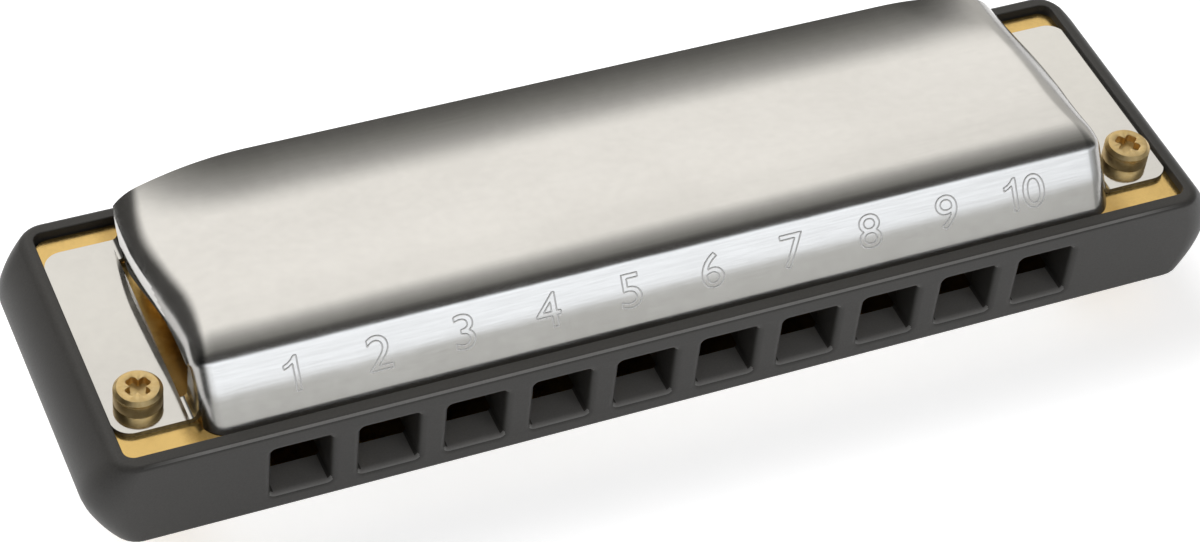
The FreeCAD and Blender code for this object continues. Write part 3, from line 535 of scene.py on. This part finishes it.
def makeNumerals(shape, section):
    points, faces, start = [], [], 0
    scale = shape["height"] / shape["drawnHeight"]
    for number in range(1, 11):
        digits = str(number)
        for place, digit in enumerate(digits):
            x = (shape["first"] + (number - 1) * shape["pitch"]
                 + (place - (len(digits) - 1) / 2) * shape["advance"] * scale)
            for ring in digitOutlines(digit, shape):
                up = (ring.imag - shape["drawnHeight"] / 2) * scale + shape["middle"]
                ring = ring.real * shape["width"] * scale + x + 1j * up
                grid = strokeGrid(evenSteps(ring, shape["lineStep"]), shape, section)
                rows, cols = grid.shape[:2]
                quads = gridQuads(rows + 1, cols, True) % (rows * cols)
                points.append(grid.reshape(-1, 3))
                faces += (quads + start).tolist()
                start += rows * cols
    mesh = bpy.data.meshes.new("numerals")
    mesh.from_pydata(np.concatenate(points).tolist(), [], faces)
    smoothShade(mesh, shape["sharpAngle"])
    numerals = bpy.data.objects.new("numerals", mesh)
    bpy.context.scene.collection.objects.link(numerals)
    numerals.data.materials.append(numeralLine)
    dress(numerals)


def edgeLoops(edges):
    # The digits' outlines come as rings of edges in order, so a ring ends where the next edge skips
    breaks = np.nonzero(edges[1:, 0] != edges[:-1, 1])[0] + 1
    return [np.unique(run) for run in np.split(edges, breaks) if len(run) > 2]


def evenSteps(ring, step):
    # Points at equal distances around a closed outline
    closed = np.append(ring, ring[0])
    length = np.concatenate([[0], np.cumsum(np.abs(np.diff(closed)))])
    at = np.linspace(0, length[-1], max(16, int(length[-1] / step)) + 1)[:-1]
    return np.interp(at, length, closed.real) + 1j * np.interp(at, length, closed.imag)


def strokeGrid(ring, shape, section):
    # A six-sided tube around the outline: each point moves by the stroke's half width, partly across
    # the line on the slope and partly out of the slope
    x, q = ring.real, ring.imag
    ahead = np.roll(ring, -1) - np.roll(ring, 1)
    ahead /= np.maximum(np.abs(ahead), 1e-9)
    side = ahead * 1j
    turn = np.linspace(0, 2 * math.pi, 7)[:-1]
    half = shape["line"]
    across = half * np.cos(turn)
    rise = shape["lineRise"] * half * np.sin(turn) + shape["lift"]
    xs = x[:, None] + side.real[:, None] * across
    qs = q[:, None] + side.imag[:, None] * across
    y, z, angle = coverPoints(coverShape, section, qs, xs)
    return toFrame(xs, y - rise * np.sin(angle), z + rise * np.cos(angle))


# Shared effects
def newGroup(name, inputs, outputs):
    group = bpy.data.node_groups.new(name, "ShaderNodeTree")
    for label, kind, value in inputs:
        group.interface.new_socket(label, in_out="INPUT", socket_type=kind).default_value = value
    for label, kind in outputs:
        group.interface.new_socket(label, in_out="OUTPUT", socket_type=kind)
    start = group.nodes.new("NodeGroupInput")
    end = group.nodes.new("NodeGroupOutput")
    return group, start, end


def addNode(tree, kind, **settings):
    node = tree.nodes.new(kind)
    for key, value in settings.items():
        setattr(node, key, value)
    return node


def makeGrainGroup():
    # Fine scratches: noise on coordinates stretched by a vector, as a mask around one half
    group, start, end = newGroup("grain", [("Stretch", "NodeSocketVector", (1, 1, 1)),
                                           ("Scale", "NodeSocketFloat", 1000.0),
                                           ("Detail", "NodeSocketFloat", 3.0)],
                                 [("Mask", "NodeSocketFloat")])
    place = addNode(group, "ShaderNodeTexCoord")
    stretch = addNode(group, "ShaderNodeVectorMath", operation="MULTIPLY")
    noise = addNode(group, "ShaderNodeTexNoise")
    link = group.links.new
    link(place.outputs["Object"], stretch.inputs[0])
    link(start.outputs["Stretch"], stretch.inputs[1])
    link(stretch.outputs[0], noise.inputs["Vector"])
    link(start.outputs["Scale"], noise.inputs["Scale"])
    link(start.outputs["Detail"], noise.inputs["Detail"])
    noise.inputs["Roughness"].default_value = 0.6
    link(noise.outputs["Fac"], end.inputs["Mask"])
    return group


def makeMottleGroup():
    # Soft patches with fine specks over them, as a mask from nought to one
    group, start, end = newGroup("mottle", [("Patch Scale", "NodeSocketFloat", 200.0),
                                            ("Speck Scale", "NodeSocketFloat", 3000.0),
                                            ("Speck Share", "NodeSocketFloat", 0.4)],
                                 [("Mask", "NodeSocketFloat")])
    place = addNode(group, "ShaderNodeTexCoord")
    patch = addNode(group, "ShaderNodeTexNoise")
    speck = addNode(group, "ShaderNodeTexNoise")
    mix = addNode(group, "ShaderNodeMix", data_type="FLOAT")
    link = group.links.new
    link(place.outputs["Object"], patch.inputs["Vector"])
    link(place.outputs["Object"], speck.inputs["Vector"])
    link(start.outputs["Patch Scale"], patch.inputs["Scale"])
    link(start.outputs["Speck Scale"], speck.inputs["Scale"])
    patch.inputs["Detail"].default_value = 3
    speck.inputs["Detail"].default_value = 2
    link(start.outputs["Speck Share"], mix.inputs["Factor"])
    link(patch.outputs["Fac"], mix.inputs["A"])
    link(speck.outputs["Fac"], mix.inputs["B"])
    link(mix.outputs["Result"], end.inputs["Mask"])
    return group


grainGroup = makeGrainGroup()
mottleGroup = makeMottleGroup()


def placeGroup(tree, group, **values):
    node = addNode(tree, "ShaderNodeGroup")
    node.node_tree = group
    for label, value in values.items():
        node.inputs[label.replace("_", " ")].default_value = value
    return node


def ramp(tree, mask, low, high, start, end):
    # Turns the span of a mask from low to high into values from start to end
    node = addNode(tree, "ShaderNodeMapRange")
    node.inputs["From Min"].default_value = low
    node.inputs["From Max"].default_value = high
    node.inputs["To Min"].default_value = start
    node.inputs["To Max"].default_value = end
    tree.links.new(mask, node.inputs["Value"])
    return node.outputs["Result"]


def blendColours(tree, mask, first, second):
    node = addNode(tree, "ShaderNodeMix", data_type="RGBA")
    node.inputs["A"].default_value = (*first, 1)
    node.inputs["B"].default_value = (*second, 1)
    tree.links.new(mask, node.inputs["Factor"])
    return node.outputs["Result"]


maskSpans = {"mottle": (0.38, 0.62), "both": (0.8, 1.2)}      # the parts of the masks in use


def finishMaterial(name, look):
    # A metal or plastic with grain and mottle: both move the roughness, the mottle moves the colour,
    # and the grain is also a shallow bump
    material = bpy.data.materials.new(name)
    material.use_nodes = True
    tree = material.node_tree
    shader = next(node for node in tree.nodes if node.type == "BSDF_PRINCIPLED")
    shader.inputs["Metallic"].default_value = look["metallic"]
    if "specular" in look:
        shader.inputs["Specular IOR Level"].default_value = look["specular"]
    grain = placeGroup(tree, grainGroup, Stretch=look["stretch"], Scale=look["grainScale"])
    mottle = placeGroup(tree, mottleGroup, Patch_Scale=look["patchScale"],
                        Speck_Scale=look["speckScale"], Speck_Share=look["speckShare"])
    tint = ramp(tree, mottle.outputs["Mask"], *maskSpans["mottle"], 0, 1)
    colour = blendColours(tree, tint, look["dark"], look["light"])
    if "ends" in look:                 # the colour fades to another one at both ends of the piece
        start, end, endColour = look["ends"]
        place = addNode(tree, "ShaderNodeTexCoord")
        axes = addNode(tree, "ShaderNodeSeparateXYZ")
        out = addNode(tree, "ShaderNodeMath", operation="ABSOLUTE")
        fade = addNode(tree, "ShaderNodeMix", data_type="RGBA")
        fade.inputs["B"].default_value = (*endColour, 1)
        tree.links.new(place.outputs["Object"], axes.inputs[0])
        tree.links.new(axes.outputs["X"], out.inputs[0])
        tree.links.new(ramp(tree, out.outputs[0], start * mm, end * mm, 0, 1), fade.inputs["Factor"])
        tree.links.new(colour, fade.inputs["A"])
        colour = fade.outputs["Result"]
    tree.links.new(colour, shader.inputs["Base Color"])
    both = addNode(tree, "ShaderNodeMath", operation="ADD")
    tree.links.new(grain.outputs["Mask"], both.inputs[0])
    tree.links.new(mottle.outputs["Mask"], both.inputs[1])
    rough = ramp(tree, both.outputs[0], *maskSpans["both"], *look["roughness"])
    tree.links.new(rough, shader.inputs["Roughness"])
    bump = addNode(tree, "ShaderNodeBump")
    bump.inputs["Strength"].default_value = look["bump"]
    bump.inputs["Distance"].default_value = look["bumpDepth"] * mm
    tree.links.new(grain.outputs["Mask"], bump.inputs["Height"])
    tree.links.new(bump.outputs["Normal"], shader.inputs["Normal"])
    return material


coverSteel = finishMaterial("coverSteel", {
    "metallic": 1.0, "dark": (0.86, 0.845, 0.82), "light": (0.93, 0.915, 0.89),
    # Painted shade: darker towards the rolled ends, standing in for the dark reflections on the rolls
    "ends": (39.6, 41.3, (0.54, 0.525, 0.50)),
    "roughness": (0.17, 0.23), "stretch": (0.05, 1, 1), "grainScale": 5000.0,
    "patchScale": 60.0, "speckScale": 900.0, "speckShare": 0.3, "bump": 0.12, "bumpDepth": 0.02})
flangeSteel = finishMaterial("flangeSteel", {
    "metallic": 1.0, "dark": (0.79, 0.775, 0.745), "light": (0.85, 0.835, 0.80),
    "roughness": (0.07, 0.11), "stretch": (0.05, 1, 1), "grainScale": 5000.0,
    "patchScale": 80.0, "speckScale": 900.0, "speckShare": 0.3, "bump": 0.05, "bumpDepth": 0.02})
cutEdge = finishMaterial("cutEdge", {
    "metallic": 1.0, "dark": (0.42, 0.41, 0.40), "light": (0.62, 0.61, 0.59),
    "roughness": (0.28, 0.42), "stretch": (0.2, 1, 1), "grainScale": 6000.0,
    "patchScale": 300.0, "speckScale": 2500.0, "speckShare": 0.5, "bump": 0.2, "bumpDepth": 0.02})
combPlastic = finishMaterial("combPlastic", {
    "metallic": 0.0, "dark": (0.038, 0.036, 0.033), "light": (0.048, 0.046, 0.042), "specular": 0.36,
    "roughness": (0.40, 0.50), "stretch": (1, 1, 1), "grainScale": 7000.0,
    "patchScale": 90.0, "speckScale": 6000.0, "speckShare": 0.6, "bump": 0.25, "bumpDepth": 0.03})
# Painted highlight and painted light: a paler, smoother plastic on the front's edges and lips and on
# the mouths' floors, fading to the plain plastic's colour towards the ends
combPaintedLight = finishMaterial("combPaintedLight", {
    "metallic": 0.0, "dark": (0.165, 0.161, 0.153), "light": (0.185, 0.181, 0.172), "specular": 0.45,
    "ends": (42.0, 46.8, (0.043, 0.041, 0.0375)),
    "roughness": (0.28, 0.36), "stretch": (1, 1, 1), "grainScale": 7000.0,
    "patchScale": 90.0, "speckScale": 6000.0, "speckShare": 0.6, "bump": 0.15, "bumpDepth": 0.03})
# Painted shade: the brass is darker over its middle, as shade under the covers, and turns to its own
# brighter colour at the open ends
plateBrassShaded = finishMaterial("plateBrassShaded", {
    "metallic": 1.0, "dark": (0.56, 0.36, 0.11), "light": (0.68, 0.46, 0.17),
    "ends": (41.5, 43.0, (0.90, 0.62, 0.23)),
    "roughness": (0.17, 0.27), "stretch": (1, 1, 1), "grainScale": 4000.0,
    "patchScale": 350.0, "speckScale": 2500.0, "speckShare": 0.3, "bump": 0.03, "bumpDepth": 0.02})
reedBrass = finishMaterial("reedBrass", {
    "metallic": 1.0, "dark": (0.74, 0.52, 0.20), "light": (0.88, 0.68, 0.32),
    "roughness": (0.20, 0.36), "stretch": (1, 0.06, 1), "grainScale": 6000.0,
    "patchScale": 400.0, "speckScale": 3000.0, "speckShare": 0.5, "bump": 0.3, "bumpDepth": 0.02})
screwBrass = finishMaterial("screwBrass", {
    "metallic": 1.0, "dark": (0.84, 0.60, 0.26), "light": (0.93, 0.71, 0.36),
    "roughness": (0.34, 0.44), "stretch": (0.3, 0.3, 1), "grainScale": 5000.0,
    "patchScale": 500.0, "speckScale": 3000.0, "speckShare": 0.5, "bump": 0.15, "bumpDepth": 0.02})
# Painted shade: the lines are a little darker than the cover, standing in for the shade along the
# pressed outlines
numeralLine = finishMaterial("numeralLine", {
    "metallic": 1.0, "dark": (0.80, 0.79, 0.77), "light": (0.88, 0.87, 0.85),
    "roughness": (0.35, 0.5), "stretch": (1, 1, 1), "grainScale": 6000.0,
    "patchScale": 300.0, "speckScale": 3000.0, "speckShare": 0.5, "bump": 0.2, "bumpDepth": 0.02})
print("materials made")

coverLine = coverSection(coverShape)
makeCover("upperCover", "upper_cover", 1, coverShape, coverLine)
makeCover("lowerCover", "lower_cover", -1, coverShape, coverLine)
print("covers made")
makeComb(combShape)
print("comb carved")
makeScrews(screwShape)
makeNumerals(numeralShape, coverLine)
print("screws and numerals made")

# The frame's own nodes keep their shapes and take detailed finishes
nodeFinishes = {
    "blow_reed_plate": plateBrassShaded, "draw_reed_plate": plateBrassShaded,
    "blow_reed_pads": reedBrass, "draw_reed_pads": reedBrass,
    "blow_reed_rivets": screwBrass, "draw_reed_rivets": screwBrass,
    "blow_plate_screws": screwBrass, "draw_plate_screws": screwBrass, "cover_nuts": screwBrass,
}
for number in range(1, 11):
    nodeFinishes[f"blow_reed_{number}"] = reedBrass
    nodeFinishes[f"draw_reed_{number}"] = reedBrass
for node, finish in nodeFinishes.items():
    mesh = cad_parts[node].data
    mesh.materials.clear()
    mesh.materials.append(finish)
print("nodes finished")

# Studio: a white floor, two soft lamps, and a world with one bright band behind and one in front
studio = {
    # The floor's glow is seen in gloss up to the first distance and fades to nothing at the second
    "floorSize": 3.0, "floorGlow": 0.56, "whiteReach": (0.07, 0.10), "floorColour": 0.82,
    "worldFill": 0.3,
    "lamps": (((-0.4, 0.6, 0.9), 0.9, 11.5), ((0.3, -0.8, 0.9), 0.9, 2.4)),
    "fillTint": 1.02,        # the fill's blue over its red
    # Degrees over the instrument from the front horizon, and the colour seen in gloss there
    "bands": ((0, (0.44, 0.44, 0.425)), (20, (0.47, 0.47, 0.455)), (25, (1.15, 1.2, 1.27)),
              (34.5, (1.15, 1.2, 1.27)), (38.5, (0.055, 0.053, 0.05)), (60, (0.06, 0.058, 0.055)),
              (68, (0.08, 0.078, 0.074)), (76, (0.125, 0.123, 0.115)), (85, (0.20, 0.198, 0.185)),
              (93, (0.28, 0.277, 0.262)), (101, (0.36, 0.355, 0.34)), (109, (0.49, 0.48, 0.46)),
              (117, (0.65, 0.64, 0.61)), (125, (0.78, 0.765, 0.73)), (134, (0.88, 0.86, 0.82)),
              (165, (0.88, 0.86, 0.82)), (180, (0.7, 0.7, 0.7))),
    # Sideways, from the middle out: where each side starts and ends to darken, and to what share.
    # The left side is turned: a share of the depth is taken from the sideways measure there.
    "leftTurn": 0.3, "leftSide": (-0.38, -0.66, 0.07), "rightSide": (0.48, 0.56, 0.5),
}


def makeFloor(settings):
    half = settings["floorSize"] / 2
    corners = np.array([[-half, -half, 0], [half, -half, 0], [half, half, 0], [-half, half, 0]])
    corners[:, 2] = cadBounds[0][2]
    mesh = bpy.data.meshes.new("studioFloor")
    mesh.from_pydata(corners.tolist(), [], [(0, 1, 2, 3)])
    floor = bpy.data.objects.new("studioFloor", mesh)
    bpy.context.scene.collection.objects.link(floor)
    material = bpy.data.materials.new("studioFloor")
    material.use_nodes = True
    tree = material.node_tree
    shader = next(node for node in tree.nodes if node.type == "BSDF_PRINCIPLED")
    shade = settings["floorColour"]
    shader.inputs["Base Color"].default_value = (shade, shade, shade, 1)
    shader.inputs["Roughness"].default_value = 1.0
    shader.inputs["Specular IOR Level"].default_value = 0.0
    place = addNode(tree, "ShaderNodeTexCoord")
    away = addNode(tree, "ShaderNodeVectorMath", operation="LENGTH")
    tree.links.new(place.outputs["Object"], away.inputs[0])
    start, end = settings["whiteReach"]
    seen = seenDirectly(tree, ramp(tree, away.outputs["Value"], start, end, 1, 0))
    glow = addNode(tree, "ShaderNodeMath", operation="MULTIPLY")
    glow.inputs[1].default_value = settings["floorGlow"]
    tree.links.new(seen, glow.inputs[0])
    shader.inputs["Emission Color"].default_value = (1, 1, 1, 1)
    tree.links.new(glow.outputs[0], shader.inputs["Emission Strength"])
    mesh.materials.append(material)


def seenDirectly(tree, nearness):
    # One where the camera looks, a share by nearness for a gloss ray or one through glass, and nought
    # for soft light
    path = addNode(tree, "ShaderNodeLightPath")
    mirrored = addNode(tree, "ShaderNodeMath", operation="ADD", use_clamp=True)
    near = addNode(tree, "ShaderNodeMath", operation="MULTIPLY")
    seen = addNode(tree, "ShaderNodeMath", operation="ADD", use_clamp=True)
    tree.links.new(path.outputs["Is Glossy Ray"], mirrored.inputs[0])
    tree.links.new(path.outputs["Is Transmission Ray"], mirrored.inputs[1])
    tree.links.new(mirrored.outputs[0], near.inputs[0])
    tree.links.new(nearness, near.inputs[1])
    tree.links.new(path.outputs["Is Camera Ray"], seen.inputs[0])
    tree.links.new(near.outputs[0], seen.inputs[1])
    return seen.outputs[0]


def makeWorld(settings):
    world = bpy.data.worlds.new("studioWorld")
    bpy.context.scene.world = world
    world.use_nodes = True
    tree = world.node_tree
    back = next(node for node in tree.nodes if node.type == "BACKGROUND")
    place = addNode(tree, "ShaderNodeTexCoord")
    axes = addNode(tree, "ShaderNodeSeparateXYZ")
    flip = addNode(tree, "ShaderNodeMath", operation="MULTIPLY")
    flip.inputs[1].default_value = -1
    over = addNode(tree, "ShaderNodeMath", operation="ARCTAN2")
    share = addNode(tree, "ShaderNodeMath", operation="DIVIDE")
    share.inputs[1].default_value = math.pi
    link = tree.links.new
    link(place.outputs["Generated"], axes.inputs[0])
    link(axes.outputs["Y"], flip.inputs[0])
    link(axes.outputs["Z"], over.inputs[0])
    link(flip.outputs[0], over.inputs[1])
    link(over.outputs[0], share.inputs[0])
    bands = addNode(tree, "ShaderNodeValToRGB")
    link(share.outputs[0], bands.inputs["Fac"])
    stops = bands.color_ramp.elements
    while len(stops) < len(settings["bands"]):
        stops.new(0.5)
    for _ in range(2):       # the stops are sorted as they move, so the first round only spreads them
        for stop, (degrees, colour) in zip(stops, settings["bands"]):
            stop.position = degrees / 180
            stop.color = (*colour, 1)
    sides = addNode(tree, "ShaderNodeMath", operation="MULTIPLY")
    turned = addNode(tree, "ShaderNodeMath", operation="MULTIPLY_ADD")
    turned.inputs[1].default_value = -settings["leftTurn"]
    link(axes.outputs["Y"], turned.inputs[0])
    link(axes.outputs["X"], turned.inputs[2])
    for slot, (name, across) in enumerate((("leftSide", turned.outputs[0]),
                                           ("rightSide", axes.outputs["X"]))):
        start, end, level = settings[name]
        link(ramp(tree, across, start, end, 1.0, level), sides.inputs[slot])
    shaded = addNode(tree, "ShaderNodeMix", data_type="RGBA", blend_type="MULTIPLY")
    shaded.inputs["Factor"].default_value = 1
    link(bands.outputs["Color"], shaded.inputs["A"])
    link(sides.outputs[0], shaded.inputs["B"])
    path = addNode(tree, "ShaderNodeLightPath")
    fill = settings["worldFill"]
    gloss = addNode(tree, "ShaderNodeMix", data_type="RGBA")
    gloss.inputs["A"].default_value = (fill, fill, fill * settings["fillTint"], 1)
    link(path.outputs["Is Glossy Ray"], gloss.inputs["Factor"])
    link(shaded.outputs["Result"], gloss.inputs["B"])
    view = addNode(tree, "ShaderNodeMix", data_type="RGBA")
    view.inputs["B"].default_value = (1, 1, 1, 1)
    link(path.outputs["Is Camera Ray"], view.inputs["Factor"])
    link(gloss.outputs["Result"], view.inputs["A"])
    link(view.outputs["Result"], back.inputs["Color"])


def makeLamps(settings):
    for number, (place, size, power) in enumerate(settings["lamps"], start=1):
        lamp = bpy.data.lights.new(f"softLamp{number}", "AREA")
        lamp.size = size
        lamp.energy = power
        holder = bpy.data.objects.new(f"softLamp{number}", lamp)
        bpy.context.scene.collection.objects.link(holder)
        holder.location = place
        holder.rotation_euler = (-Vector(place)).to_track_quat("-Z", "Y").to_euler()
        holder.visible_glossy = False


# Camera fitted to the photograph's edges
view = {
    "from": (-97.59, -180.44, 215.11), "to": (-0.2, 2.805, 4.52), "roll": -6.951,
    "lens": 101.82, "sensor": 36, "near": 0.01, "far": 20,
}


def makeCamera(settings):
    # The camera's axes: sideways and down from the line of sight, then rolled about it
    eye, target = Vector(settings["from"]) * mm, Vector(settings["to"]) * mm
    ahead = (target - eye).normalized()
    right = ahead.cross(Vector((0, 0, 1))).normalized()
    down = ahead.cross(right)
    c, s = math.cos(math.radians(settings["roll"])), math.sin(math.radians(settings["roll"]))
    across, below = right * c + down * s, down * c - right * s
    data = bpy.data.cameras.new("photoView")
    data.lens = settings["lens"]
    data.sensor_width = settings["sensor"]
    data.clip_start, data.clip_end = settings["near"], settings["far"]
    camera = bpy.data.objects.new("photoView", data)
    bpy.context.scene.collection.objects.link(camera)
    axes = Matrix((across, -below, -ahead)).transposed().to_4x4()
    camera.matrix_world = Matrix.Translation(eye) @ axes
    bpy.context.scene.camera = camera


makeFloor(studio)
makeWorld(studio)
makeLamps(studio)
makeCamera(view)
bpy.context.scene.view_settings.view_transform = "Standard"
print("studio ready")

bpy.context.view_layer.update()
